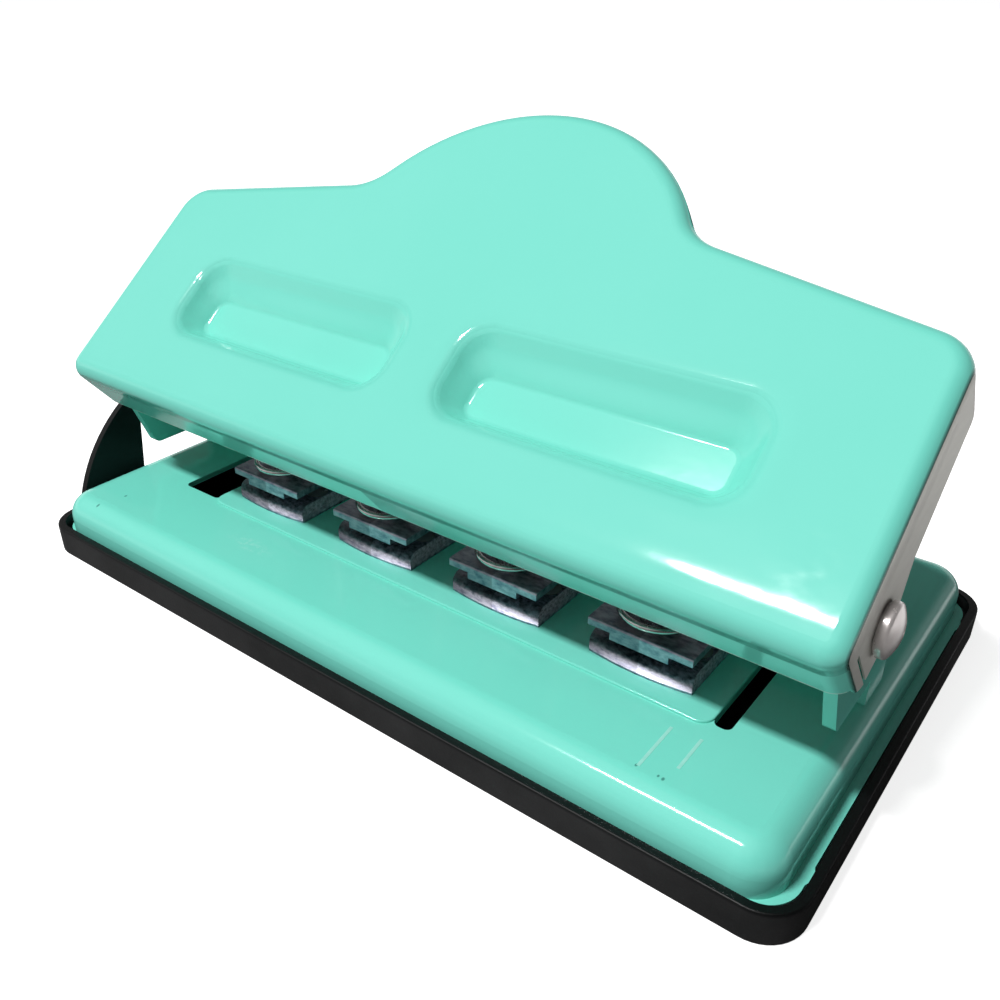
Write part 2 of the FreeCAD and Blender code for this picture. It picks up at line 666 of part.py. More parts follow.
def lip_radius():
    return s.unit_width * s.unit_width / (s.lip_bow * 8) + s.lip_bow / 2


def make_die(number):
    body = unit_body("die_plate", number)
    half = s.unit_width / 2
    plan = new_sketch(body, "die_plan", at=s.frame_sheet)
    edge = s.lip_bow - s.unit_front
    outline(plan, (-half, edge, lip_radius(), "right"), (half, edge),
            (half, unit_inner_back), (-half, unit_inner_back))
    block = pad(body, "die_block", plan, s.die_thick)
    front = edges_where(block, lambda item: lies_at_height(item, die_top)
                        and item.BoundBox.YMax < edge.value + 0.1)
    dress(body, "Fillet", "die_lip", block, front, s.die_lip)
    hole = new_sketch(body, "die_hole_plan", at=die_top)
    mushroom(hole, s.pin_gap)
    pocket(body, "die_hole", hole, s.die_thick * 1.5)
    drilled = rivet_holes(body, "die_rivet_holes", die_top, s.die_thick * 1.5)
    rims = edges_where(drilled, lambda item: lies_at_height(item, die_top)
                       and near(item.BoundBox.XLength, (s.unit_rivet_radius + s.seat_gap) * 2, 0.05))
    dress(body, "Chamfer", "die_countersinks", drilled, rims, s.countersink, "Size")
    return body


def make_stop(number):
    body = unit_body("paper_stop", number)
    plan = new_sketch(body, "stop_plan", at=die_top)
    box_outline(plan, -s.unit_width / 2, s.unit_width / 2, s.stop_place, unit_inner_back)
    pad(body, "stop_bar", plan, s.throat_height)
    notch = new_sketch(body, "stop_notch_plan", at=guide_under)
    mushroom(notch, s.pin_gap)
    pocket(body, "stop_notch", notch, s.throat_height * 1.5)
    return body


def make_pin(number):
    body = unit_body("punch_pin", number)
    section = new_sketch(body, "blade_section", at=blade_tip)
    mushroom(section, 0)
    pad(body, "blade", section, s.blade_length)
    side = new_sketch(body, "shank_side", "XZ_Plane")
    foot = blade_tip + s.blade_length
    axis = as_size(0)
    outline(side, (axis, foot), (s.shank_radius, foot), (s.shank_radius, seat_top),
            (s.groove_radius, seat_top), (s.groove_radius, clip_top), (s.shank_radius, clip_top),
            (s.shank_radius, dome_centre, s.shank_radius, "right"),
            (axis, dome_centre + s.shank_radius))
    revolve(body, "shank", side)
    return body


def make_seat(number):
    body = unit_body("spring_seat", number)
    side = new_sketch(body, "seat_side", "XZ_Plane")
    bore = s.shank_radius + s.seat_gap
    outline(side, (bore, spring_top - s.collar_depth), (s.collar_radius, spring_top - s.collar_depth),
            (s.collar_radius, spring_top), (s.seat_radius, spring_top), (s.seat_radius, seat_top),
            (bore, seat_top))
    revolve(body, "seat", side)
    return body


def make_clip(number):
    body = unit_body("retaining_clip", number)
    plan = new_sketch(body, "clip_plan", at=seat_top)
    circle(plan, 0, 0, s.clip_radius)
    circle(plan, 0, 0, s.groove_radius + s.seat_gap)
    pad(body, "clip_ring", plan, s.clip_sheet)
    mouth = new_sketch(body, "mouth_plan", at=clip_top)
    box_outline(mouth, -s.clip_mouth / 2, s.clip_mouth / 2, as_size(0), s.clip_radius + s.cut_past)
    pocket(body, "clip_mouth", mouth, s.clip_sheet * 2)
    return body


# Springs

def biarc(start, start_way, end, end_way):
    # Two arcs that leave the first point along its tangent and reach the second along its own.
    span = end - start
    ways = start_way + end_way
    square = ways.dot(ways) - 4
    lean = span.dot(ways)
    reach = (lean - math.sqrt(lean ** 2 - square * span.dot(span))) / square
    first_corner = start + start_way * reach
    second_corner = end - end_way * reach
    joint = (first_corner + second_corner) / 2
    edges = []
    for one, corner, two in ((start, first_corner, joint), (joint, second_corner, end)):
        middle = (one + two) / 2
        turn = (corner - one).getAngle(two - corner) / 2
        share = math.cos(turn) / (1 + math.cos(turn))
        edges.append(Part.Arc(one, middle + (corner - middle) * share, two).toShape())
    return edges


def coil_points(height):
    # Quarter turns: one close turn at each end, open turns between them.
    turns = int(s.coil_turns.value)
    open_rise = (height - s.wire.value - s.end_pitch.value * 2) / turns
    rises = [s.end_pitch.value / 4] * 4 + [open_rise / 4] * (4 * turns) + [s.end_pitch.value / 4] * 4
    level = s.wire.value / 2
    points, ways = [], []
    for quarter in range(len(rises) + 1):
        angle = math.pi / 2 * quarter
        before = rises[max(quarter - 1, 0)]
        after = rises[min(quarter, len(rises) - 1)]
        radius = s.coil_radius.value
        points.append(Vector(radius * math.cos(angle), radius * math.sin(angle), level))
        way = Vector(-math.sin(angle), math.cos(angle), (before + after) / 2 / (radius * math.pi / 2))
        ways.append(way.normalize())
        if quarter < len(rises):
            level += rises[quarter]
    return points, ways


def least_gap(edges):
    samples, run = [], 0
    for edge in edges:
        for spot in edge.discretize(Number=9)[:-1]:
            samples.append((run, spot))
            run += edge.Length / 8
    far = math.pi * s.coil_radius.value
    gaps = [(one - two).Length for at, one in samples for on, two in samples if on - at > far]
    return min(gaps) - s.wire.value


def make_spring(number, coil):
    spring = doc.addObject("Part::Feature", f"return_spring_{number + 1}")
    spring.Label = f"return_spring_{number + 1}"
    spring.Shape = coil
    base = platform_top + guide_top
    place = Vector(unit_place(number).value, pin_place.value, base.value)
    spring.Placement = Placement(place, Rotation())
    return spring


def wind_coil():
    height = (spring_top - guide_top).value
    points, ways = coil_points(height)
    edges = [Part.makeLine(points[0] - ways[0] * s.wire.value, points[0])]
    for i in range(len(points) - 1):
        edges += biarc(points[i], ways[i], points[i + 1], ways[i + 1])
    edges.append(Part.makeLine(points[-1], points[-1] + ways[-1] * s.wire.value))
    path = Part.Wire(edges)
    ring = Part.makeCircle(s.wire.value / 2, points[0] - ways[0] * s.wire.value, ways[0])
    coil = path.makePipeShell([Part.Wire(ring)], True)
    print("spring: free height", round(height, 2), "path", round(path.Length, 1),
          "least gap", round(least_gap(edges), 2),
          "volume share", round(coil.Volume / (ring_area() * path.Length), 4))
    return coil


def ring_area():
    return math.pi * s.wire.value ** 2 / 4


# Handle, in its own frame: pivot at the origin, +Y up the slope, +Z out of the top face

def make_handle():
    body = new_body("handle", 0, s.pivot_place, pivot_top, s.tilt)
    slope = tangent(s.shoulder_slope)
    flank = tangent(s.hump_slope)
    apex = s.hump_top - s.hump_radius + s.hump_radius / cosine(s.hump_slope)
    foot_x = (apex - s.shoulder_place) / (flank - slope)
    foot_y = s.shoulder_place - foot_x * slope
    side_y = s.shoulder_place - handle_half * slope
    plan = new_sketch(body, "handle_plan", at=-s.ear_drop)
    outline(plan, (-handle_half, -s.handle_front, s.handle_corner),
            (handle_half, -s.handle_front, s.handle_corner),
            (handle_half, side_y, s.shoulder_round),
            (foot_x, foot_y, s.hump_blend), (0, apex, s.hump_radius),
            (-foot_x, foot_y, s.hump_blend), (-handle_half, side_y, s.shoulder_round))
    block = pad(body, "handle_block", plan, s.handle_rise + s.ear_drop)
    upper = edges_where(block, lambda edge: handle_height(edge, s.handle_rise))
    drawn = dress(body, "Fillet", "handle_edge", block, upper, s.handle_bend)
    doc.recompute()
    under = [f"Face{i}" for i, face in enumerate(drawn.Shape.Faces, 1)
             if near(face.BoundBox.ZMax, -s.ear_drop)]
    shell = body.newObject("PartDesign::Thickness", "handle_shell")
    shell.Base = (drawn, under)
    shell.Mode = 0
    shell.Join = 0
    shell.Reversed = True
    bind(shell, "Value", s.handle_sheet)
    press_recesses(body)
    trim_handle(body)
    return body


def handle_height(edge, size):
    box = edge.BoundBox
    return near(box.ZMin, size) and near(box.ZMax, size)


def bend_offset(run):
    # How far the underside's bend lies outside the upper one, for a wall of this run.
    length = Size(math.hypot(run.value, s.recess_depth.value),
                  f"sqrt({run.text} * {run.text} + {s.recess_depth.text} * {s.recess_depth.text})")
    return s.handle_sheet * (length - run) / s.recess_depth


def recess_sketch(body, name, level, inset, grow, radius):
    side, near_run, far_run = s.recess_side, s.recess_near, s.recess_far
    sketch = new_sketch(body, name, at=level)
    box_outline(sketch,
                s.recess_inner + side * inset - bend_offset(side) * grow,
                s.recess_outer - side * inset + bend_offset(side) * grow,
                s.recess_front + near_run * inset - bend_offset(near_run) * grow,
                s.recess_back - far_run * inset + bend_offset(far_run) * grow, radius)
    return sketch


def press_recesses(body):
    under = s.handle_rise - s.handle_sheet
    floor = s.handle_rise - s.recess_depth
    made = []
    for kind, name, high, low, grow in (
            ("AdditiveLoft", "recess_metal", under, under - s.recess_depth, 1),
            ("SubtractiveLoft", "recess_hollow", s.handle_rise, floor, 0)):
        rim = recess_sketch(body, name + "_rim", high, 0, grow, s.recess_round)
        base = recess_sketch(body, name + "_base", low, 1, grow, s.recess_floor_round)
        loft = body.newObject("PartDesign::" + kind, name)
        loft.Profile = rim
        loft.Sections = [base]
        loft.Ruled = True
        made.append(loft)
    mirror = body.newObject("PartDesign::Mirrored", "other_recess")
    mirror.Originals = made
    mirror.MirrorPlane = (origin_plane(body, "YZ_Plane"), [""])
    body.Tip = mirror
    shape = mirror
    for name, level, radius in (("recess_rims", s.handle_rise, s.rim_soft),
                                ("recess_floors", floor, s.floor_soft),
                                ("recess_undersides", floor - s.handle_sheet,
                                 s.floor_soft + s.handle_sheet * 0.5)):
        around = edges_where(shape, lambda edge: lies_at_height(edge, level)
                             and inside_recess(edge))
        shape = dress(body, "Fillet", name, shape, around, radius)


def inside_recess(edge):
    box = edge.BoundBox
    wide = s.recess_outer.value + 1
    return box.XMax < wide and box.XMin > -wide and box.YMax < s.recess_back.value + 1


def trim_handle(body):
    # The lower edge: short at the front skirt and the back rim, deepest round the pivot.
    edge = new_sketch(body, "lower_edge_side", "YZ_Plane")
    low = -s.ear_drop - s.cut_past
    skirt_inner = s.handle_sheet - s.handle_front
    back = s.hump_top + s.cut_past
    front = -s.handle_front - s.cut_past
    outline(edge, (front, low), (front, -s.skirt_edge),
            (skirt_inner + s.relief_width / 3, -s.skirt_edge),
            (skirt_inner + s.relief_width * 2 / 3, -s.ear_drop * 0.64),
            (-s.ear_drop * 0.5, -s.ear_drop * 0.94), (s.ear_drop * 0.8, -s.ear_drop),
            (s.ear_drop * 2, -s.ear_drop * 0.35), (s.recess_back * 1.3, -s.back_edge),
            (back, -s.back_edge), (back, low))
    pocket(body, "lower_edge", edge, s.handle_length + s.cut_past * 2, both_ways=True)
    slit = new_sketch(body, "corner_slit_side", "YZ_Plane")
    start = skirt_inner + s.handle_corner - s.handle_sheet
    box_outline(slit, start, start + s.relief_width, low, s.relief_height - s.skirt_edge,
                s.relief_width * 0.45)
    pocket(body, "corner_slits", slit, s.handle_length + s.cut_past * 2, both_ways=True)
    eyes = new_sketch(body, "handle_eye_side", "YZ_Plane")
    circle(eyes, 0, 0, s.pivot_radius + s.pivot_gap)
    pocket(body, "handle_eyes", eyes, s.handle_length + s.cut_past * 2, both_ways=True)


# Pivot rivets and washers

def make_pivot_rivet(name, way):
    body = new_body(name, 0, s.pivot_place, pivot_top)
    side = new_sketch(body, "rivet_side", "XZ_Plane")
    seat = handle_half + s.side_gap
    tail = ear_inner - s.tail_height
    lower = seat + s.rivet_collar
    shoulder = lower + s.rivet_side
    tip = seat + s.rivet_dome
    rise = tip - shoulder
    dome = (s.rivet_head * s.rivet_head / rise + rise) / 2
    bulge = "left" if way > 0 else "right"
    outline(side, (tail * way, 0), (tail * way, s.tail_radius), (ear_inner * way, s.tail_radius),
            (ear_inner * way, s.pivot_radius), (seat * way, s.pivot_radius),
            (seat * way, s.rivet_neck), (lower * way, s.rivet_neck), (lower * way, s.rivet_head),
            (shoulder * way, s.rivet_head, dome, bulge), (tip * way, 0))
    turned = revolve(body, "rivet", side, "H_Axis")
    rim = edges_where(turned, lambda edge: near(edge.BoundBox.XMin, shoulder * way)
                      and near(edge.BoundBox.XMax, shoulder * way))
    dress(body, "Fillet", "rivet_shoulder", turned, rim, s.rivet_soft)
    return body


def make_washer(name, way):
    body = new_body(name, 0, s.pivot_place, pivot_top)
    inner = ear_outer + s.side_gap
    ring = new_sketch(body, "washer_side", "YZ_Plane", inner * way)
    circle(ring, 0, 0, s.washer_radius)
    circle(ring, 0, 0, s.pivot_radius + s.pivot_gap)
    pad(body, "washer", ring, s.washer_thick, down=way < 0)
    return body


# Small rivets, each group in one node

def make_unit_rivets():
    body = new_body("unit_rivets", first_unit, pin_place, platform_top)
    body.AllowCompound = True
    side = new_sketch(body, "unit_rivet_side", "XZ_Plane")
    bind(side, "AttachmentOffset.Base.x", unit_rivet_place)
    rim = s.unit_rivet_radius + s.countersink
    tail = platform_under - platform_top - s.small_tail
    spread = s.unit_rivet_radius + s.tail_spread
    axis = as_size(0)
    outline(side, (axis, tail), (spread, tail), (spread, -s.plate_sheet),
            (s.unit_rivet_radius, -s.plate_sheet), (s.unit_rivet_radius, die_top - s.countersink),
            (rim, die_top), (axis, die_top))
    rivet = revolve(body, "unit_rivet", side)
    pattern = body.newObject("PartDesign::MultiTransform", "unit_rivet_rows")
    pattern.Originals = [rivet]
    mirror = body.newObject("PartDesign::Mirrored", "unit_rivet_pair")
    mirror.MirrorPlane = (origin_plane(body, "YZ_Plane"), [""])
    row = body.newObject("PartDesign::LinearPattern", "unit_rivet_row")
    row.Direction = (origin_axis(body, "X_Axis"), [""])
    row.Occurrences = UNITS
    bind(row, "Length", s.pin_pitch * (UNITS - 1))
    pattern.Transformations = [mirror, row]
    body.Tip = pattern
    return body


def origin_axis(body, role):
    return [part for part in body.Origin.OriginFeatures if part.Role == role][0]


def make_foot_rivets():
    body = new_body("bracket_rivets", foot_rivet_place(0), foot_rivet_row, plate_top)
    body.AllowCompound = True
    side = new_sketch(body, "foot_rivet_side", "XZ_Plane")
    head = s.bracket_sheet
    dome = s.foot_rivet_head * 0.45
    radius = (s.foot_rivet_head * s.foot_rivet_head / dome + dome) / 2
    under = -s.plate_sheet
    tail = under - s.small_tail
    spread = s.foot_rivet_radius + s.tail_spread
    axis = as_size(0)
    outline(side, (axis, tail), (spread, tail), (spread, under), (s.foot_rivet_radius, under),
            (s.foot_rivet_radius, head), (s.foot_rivet_head, head, radius, "right"),
            (axis, head + dome))
    rivet = revolve(body, "foot_rivet", side)
    row = body.newObject("PartDesign::LinearPattern", "foot_rivet_line")
    row.Originals = [rivet]
    row.Direction = (origin_axis(body, "X_Axis"), [""])
    row.Occurrences = FOOT_RIVETS
    bind(row, "Length", foot_rivet_span)
    body.Tip = row
    return body


# Build everything, check it and write it out

nodes = [make_tray(), make_base_plate(), make_bracket()]
coil = wind_coil()
for unit in range(UNITS):
    nodes += [make_frame(unit), make_die(unit), make_stop(unit), make_pin(unit)]
    nodes += [make_seat(unit), make_clip(unit), make_spring(unit, coil)]
nodes += [make_handle()]
nodes += [make_pivot_rivet("pivot_rivet_left", -1), make_pivot_rivet("pivot_rivet_right", 1)]
nodes += [make_washer("pivot_washer_left", -1), make_washer("pivot_washer_right", 1)]
nodes += [make_unit_rivets(), make_foot_rivets()]
doc.recompute()

CUTS = ("PartDesign::Pocket", "PartDesign::SubtractiveLoft", "PartDesign::Thickness")
for item in doc.Objects:
    if "Invalid" in item.State or "Error" in item.State:
        raise RuntimeError(f"{item.Name} ({item.Label}) failed: {item.State}")
    if item.TypeId == "Sketcher::SketchObject" and not item.FullyConstrained:
        raise RuntimeError(f"{item.Name} isn't fully constrained")
    if item.TypeId in CUTS and item.Shape.Volume > item.BaseFeature.Shape.Volume - 1e-4:
        raise RuntimeError(f"{item.Name} cut nothing")

SOLIDS = {"unit_rivets": UNITS * 2, "bracket_rivets": FOOT_RIVETS}
os.makedirs("parts", exist_ok=True)
for node in nodes:
    shape = node.Shape
    if shape.isNull() or not shape.isValid():
        raise RuntimeError(f"{node.Label} has no valid shape")
    if len(shape.Solids) != SOLIDS.get(node.Label, 1):
        raise RuntimeError(f"{node.Label} holds {len(shape.Solids)} solids")
for node in nodes:
    node.Shape.exportStep(f"parts/{node.Label}.step")
    box = node.Shape.BoundBox
    print(f"{node.Label:20s} {node.Shape.Volume:10.1f} mm3   x {box.XMin:7.2f} {box.XMax:7.2f}"
          f"   y {box.YMin:7.2f} {box.YMax:7.2f}   z {box.ZMin:7.2f} {box.ZMax:7.2f}")
print(len(nodes), "nodes")
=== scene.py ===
import json
import math

import bmesh
import bpy
from mathutils import Matrix, Vector


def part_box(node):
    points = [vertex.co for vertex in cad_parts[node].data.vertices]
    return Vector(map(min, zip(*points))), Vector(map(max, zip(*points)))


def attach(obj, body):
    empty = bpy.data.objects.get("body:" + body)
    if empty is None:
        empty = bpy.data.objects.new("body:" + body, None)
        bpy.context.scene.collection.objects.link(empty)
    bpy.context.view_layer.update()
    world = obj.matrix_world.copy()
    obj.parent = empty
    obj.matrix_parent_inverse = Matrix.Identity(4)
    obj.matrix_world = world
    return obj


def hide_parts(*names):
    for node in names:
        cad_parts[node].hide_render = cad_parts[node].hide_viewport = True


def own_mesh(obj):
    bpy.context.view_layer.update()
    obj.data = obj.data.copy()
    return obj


# Four-hole disc binding punch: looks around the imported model, in metres.

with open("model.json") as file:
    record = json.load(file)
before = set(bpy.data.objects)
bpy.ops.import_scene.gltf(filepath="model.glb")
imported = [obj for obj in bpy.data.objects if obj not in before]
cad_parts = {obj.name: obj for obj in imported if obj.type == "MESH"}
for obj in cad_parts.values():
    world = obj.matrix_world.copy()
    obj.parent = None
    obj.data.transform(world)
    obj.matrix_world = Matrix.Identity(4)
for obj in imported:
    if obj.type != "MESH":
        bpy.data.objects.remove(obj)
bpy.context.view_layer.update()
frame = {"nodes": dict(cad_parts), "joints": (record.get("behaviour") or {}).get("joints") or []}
scene = bpy.context.scene
nodes = frame["nodes"]
joints = {joint["name"]: joint for joint in frame["joints"]}
unitCount = len([name for name in nodes if name.startswith("return_spring")])
print("frame loaded:", len(nodes), "nodes")


# Shader helpers

def newMaterial(name):
    material = bpy.data.materials.new(name)
    material.use_nodes = True
    tree = material.node_tree
    shader = tree.nodes["Principled BSDF"]
    coords = tree.nodes.new("ShaderNodeTexCoord").outputs["Object"]
    return material, tree, shader, coords


def put(tree, socket, value):
    if isinstance(value, bpy.types.NodeSocket):
        tree.links.new(value, socket)
    else:
        socket.default_value = value


def stretched(tree, coords, scale, location=(0, 0, 0)):
    mapping = tree.nodes.new("ShaderNodeMapping")
    tree.links.new(coords, mapping.inputs["Vector"])
    mapping.inputs["Location"].default_value = location
    mapping.inputs["Scale"].default_value = scale
    return mapping.outputs["Vector"]


def noise(tree, coords, scale, detail, roughness=0.5):
    texture = tree.nodes.new("ShaderNodeTexNoise")
    tree.links.new(coords, texture.inputs["Vector"])
    texture.inputs["Scale"].default_value = scale
    texture.inputs["Detail"].default_value = detail
    texture.inputs["Roughness"].default_value = roughness
    return texture.outputs["Fac"]


def calc(tree, operation, first, second=0.0):
    node = tree.nodes.new("ShaderNodeMath")
    node.operation = operation
    put(tree, node.inputs[0], first)
    put(tree, node.inputs[1], second)
    return node.outputs[0]


def times(tree, first, *others):
    for other in others:
        first = calc(tree, "MULTIPLY", first, other)
    return first


def plus(tree, first, *others):
    for other in others:
        first = calc(tree, "ADD", first, other)
    return first


def minus(tree, first, second):
    return calc(tree, "SUBTRACT", first, second)


def larger(tree, first, second):
    return calc(tree, "MAXIMUM", first, second)


def unsigned(tree, value):
    return calc(tree, "ABSOLUTE", value)


def diagonal(tree, first, second):
    return calc(tree, "SQRT", plus(tree, times(tree, first, first), times(tree, second, second)))


def remap(tree, value, low, high, newLow=0.0, newHigh=1.0, smooth=False):
    node = tree.nodes.new("ShaderNodeMapRange")
    node.interpolation_type = "SMOOTHSTEP" if smooth else "LINEAR"
    put(tree, node.inputs["Value"], value)
    node.inputs["From Min"].default_value = low
    node.inputs["From Max"].default_value = high
    node.inputs["To Min"].default_value = newLow
    node.inputs["To Max"].default_value = newHigh
    return node.outputs["Result"]


def mixColour(tree, factor, first, second):
    node = tree.nodes.new("ShaderNodeMix")
    node.data_type = "RGBA"
    put(tree, node.inputs[0], factor)
    put(tree, node.inputs[6], first if isinstance(first, bpy.types.NodeSocket) else (*first, 1))
    put(tree, node.inputs[7], second if isinstance(second, bpy.types.NodeSocket) else (*second, 1))
    return node.outputs[2]


def mixNumber(tree, factor, first, second):
    node = tree.nodes.new("ShaderNodeMix")
    put(tree, node.inputs[0], factor)
    put(tree, node.inputs[2], first)
    put(tree, node.inputs[3], second)
    return node.outputs[0]


def bump(tree, shader, height, strength=1.0, distance=1.0, below=None):
    node = tree.nodes.new("ShaderNodeBump")
    node.inputs["Strength"].default_value = strength
    node.inputs["Distance"].default_value = distance
    tree.links.new(height, node.inputs["Height"])
    if below:
        tree.links.new(below, node.inputs["Normal"])
    tree.links.new(node.outputs["Normal"], shader.inputs["Normal"])
    return node.outputs["Normal"]


def axes(tree, coords):
    split = tree.nodes.new("ShaderNodeSeparateXYZ")
    tree.links.new(coords, split.inputs[0])
    return split.outputs


def along(tree, coords, way, origin=(0, 0, 0)):
    node = tree.nodes.new("ShaderNodeVectorMath")
    node.operation = "DOT_PRODUCT"
    tree.links.new(coords, node.inputs[0])
    node.inputs[1].default_value = way
    return minus(tree, node.outputs["Value"], Vector(way).dot(Vector(origin)))


def farFrom(tree, coords, centre, weights):
    # Distance from a centre, each axis counted by its weight.
    shift = [-place * weight for place, weight in zip(centre, weights)]
    node = tree.nodes.new("ShaderNodeVectorMath")
    node.operation = "LENGTH"
    tree.links.new(stretched(tree, coords, weights, shift), node.inputs[0])
    return node.outputs["Value"]


def slope(degrees):
    return math.tan(math.radians(degrees))


def shaded(colour, share):
    return [value * share for value in colour]


# In the settings below, a noise has a scale and a detail, and sometimes a roughness. A bump has a
# strength and a depth, and a range is the stretch of a noise's values that counts.

# Enamel on the handle, the base plate and the bracket

enamel = {
    "light": (0.225, 0.79, 0.665),
    "deep": (0.19, 0.755, 0.62),
    "patches": (26, 4),
    "roughness": (0.07, 0.13),
    "smears": (60, 5, 0.6),
    "smearStretch": (0.5, 1.6, 1),
    "smearRange": (0.3, 0.75),
    "refraction": 1.52,
    "waves": (140, 1),  # slow unevenness of the sheet
    "waveBump": (0.3, 0.00010),
    "peel": (620, 2),  # orange peel of the paint
    "peelBump": (0.25, 0.00003),
}


def makeEnamel(name):
    material, tree, shader, coords = newMaterial(name)
    patches = noise(tree, coords, *enamel["patches"])
    colour = mixColour(tree, patches, enamel["deep"], enamel["light"])
    smears = noise(tree, stretched(tree, coords, enamel["smearStretch"]), *enamel["smears"])
    rough = remap(tree, smears, *enamel["smearRange"], *enamel["roughness"])
    put(tree, shader.inputs["Base Color"], colour)
    put(tree, shader.inputs["Roughness"], rough)
    shader.inputs["IOR"].default_value = enamel["refraction"]
    waves = noise(tree, coords, *enamel["waves"])
    normal = bump(tree, shader, waves, *enamel["waveBump"])
    peel = noise(tree, coords, *enamel["peel"])
    normal = bump(tree, shader, peel, *enamel["peelBump"], normal)
    return material, tree, shader, coords, colour, rough, normal


# Small chips and one pale smudge on the base plate

plateWear = {
    "chips": ((-0.0603, -0.0354, 0.00032),  # x, y and radius
              (-0.0589, -0.0306, 0.00026),
              (0.0492, -0.0333, 0.00024),
              (0.0522, -0.0333, 0.00020),
              (0.0529, -0.0334, 0.00026)),
    "chipStretch": (1, 0.7, 0),
    "chipCore": 0.5,
    "chipColour": (0.03, 0.18, 0.15),
    "chipShare": 0.75,
    "smudge": (-0.0277, -0.0281, 0),
    "smudgeReach": (0.0065, 0.0022),
    "smudgeFade": (1.0, 0.3),
    "smudgeGrain": (900, 5, 0.7),
    "smudgeRange": (0.48, 0.66),
    "smudgeColour": (0.42, 0.84, 0.76),
    "smudgeShare": 0.5,
}


def makePlateEnamel():
    material, tree, shader, coords, colour = makeEnamel("plateEnamel")[:5]
    wide, deep = plateWear["smudgeReach"]
    reach = farFrom(tree, coords, plateWear["smudge"], (1 / wide, 1 / deep, 0))
    grain = noise(tree, coords, *plateWear["smudgeGrain"])
    haze = times(tree, remap(tree, reach, *plateWear["smudgeFade"], smooth=True),
                 remap(tree, grain, *plateWear["smudgeRange"]), plateWear["smudgeShare"])
    colour = mixColour(tree, haze, colour, plateWear["smudgeColour"])
    for x, y, radius in plateWear["chips"]:
        reach = farFrom(tree, coords, (x, y, 0), plateWear["chipStretch"])
        chip = remap(tree, reach, radius, radius * plateWear["chipCore"], 0, plateWear["chipShare"])
        colour = mixColour(tree, chip, colour, plateWear["chipColour"])
    put(tree, shader.inputs["Base Color"], colour)
    return material


# Handle. Rise is measured from the rivets square to its sheet, and depth back along the sheet.

handle = {"tilt": 38.7}  # degrees, at rest

# The end flanges are bare metal up to the bend. A thin line of painted shade darkens the enamel
# where it ends.
flange = {
    "colour": (0.68, 0.67, 0.62),
    "roughness": 0.5,
    "metal": 0.35,
    "inset": 0.00022,
    "bareFade": 0.00004,
    "line": (0.05, 0.12, 0.10),
    "lineWidth": 0.00035,
    "lineFade": 0.00008,
    "brush": (900, 3),
    "brushStretch": (1, 0.2, 1),
    "brushShade": 0.85,
    "rivetShadeReach": (0.0037, 0.0029),  # radii where the painted shade round the rivet head starts and is full
    "rivetShadeTone": 0.45,
    "rivetShadeGrain": (700, 3),
    "rivetShadeRange": (0.35, 0.6),
}

# A painted highlight runs along the front skirt's lower edge, in patches: a pale line that stands
# in for the glint on the sheet's edge.
edgeGlint = {
    "height": -0.0013,
    "width": 0.0004,
    "depth": -0.0080,
    "fade": 0.0001,
    "patches": (300, 3),
    "patchRange": (0.38, 0.55),
    "colour": (0.86, 0.96, 0.92),
}

# The sheet turns down softly before the bend at the front, to a slope in degrees.
frontEdge = {"start": -0.0016, "run": 0.0036, "slope": 6.0}

# One shallow dent near the right front corner, placed by x and depth
dent = {"place": (0.0625, 0.0022), "reach": (0.0065, 0.0015), "height": 0.00012, "noise": (300, 1)}

# The recesses' floors are a little crowned, and the sheet sinks softly round their rims.
recess = {
    "inner": 0.0050,  # sides, from the handle's middle
    "outer": 0.0523,
    "front": 0.0042,  # depths
    "back": 0.0192,
    "floor": 0.00525,  # rises
    "rim": 0.0080,
    "crown": 2.2,  # slope at the crown's ends, degrees
    "crownHalf": 0.0213,
    "fall": 2.8,  # slope of the floor down to the front, degrees
    "roughness": 0.14,
    "round": 0.005,
    "soft": 0.003,
    "sink": 0.00028,
}


def bareFlanges(tree, coords, out, colour):
    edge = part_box("handle")[1].x - flange["inset"]
    bare = remap(tree, out, edge - flange["bareFade"], edge)
    line = remap(tree, out, edge - flange["lineWidth"], edge - flange["lineFade"])
    brush = noise(tree, stretched(tree, coords, flange["brushStretch"]), *flange["brush"])
    darker = shaded(flange["colour"], flange["brushShade"])
    metal = mixColour(tree, brush, darker, flange["colour"])
    # Painted shade darkens the flange in a ring round the rivet head, broken up by noise.
    ring = farFrom(tree, coords, joints["handle_press"]["pos_m"], (0, 1, 1))
    shadeBreakup = remap(tree, noise(tree, coords, *flange["rivetShadeGrain"]), *flange["rivetShadeRange"])
    rivetShade = times(tree, remap(tree, ring, *flange["rivetShadeReach"]), shadeBreakup)
    metal = mixColour(tree, rivetShade, metal, shaded(flange["colour"], flange["rivetShadeTone"]))
    # Painted shade: a thin dark line on the enamel just inside the edge of the bare flange
    return bare, metal, mixColour(tree, line, colour, flange["line"])


def paintedEdgeGlint(tree, coords, rise, depth):
    low = remap(tree, rise, edgeGlint["height"] + edgeGlint["width"], edgeGlint["height"] + edgeGlint["width"] / 2)
    front = remap(tree, depth, edgeGlint["depth"] + edgeGlint["fade"], edgeGlint["depth"])
    patches = noise(tree, coords, *edgeGlint["patches"])
    return times(tree, low, front, remap(tree, patches, *edgeGlint["patchRange"]))


def crownedFloor(tree, out, depth, low):
    half = recess["crownHalf"]
    bow = minus(tree, times(tree, out, out), half ** 2 / 2)
    bow = times(tree, bow, -slope(recess["crown"]) / 2 / half)
    return times(tree, plus(tree, bow, times(tree, depth, slope(recess["fall"]))), low)


def softFront(tree, depth):
    # A cubic curve as far as the run, and straight on from there.
    past = minus(tree, frontEdge["start"], depth)
    near = remap(tree, past, 0, frontEdge["run"])
    beyond = larger(tree, minus(tree, past, frontEdge["run"]), 0.0)
    drop = times(tree, calc(tree, "POWER", near, 3), frontEdge["run"] / 3)
    return times(tree, plus(tree, drop, beyond), -slope(frontEdge["slope"]))


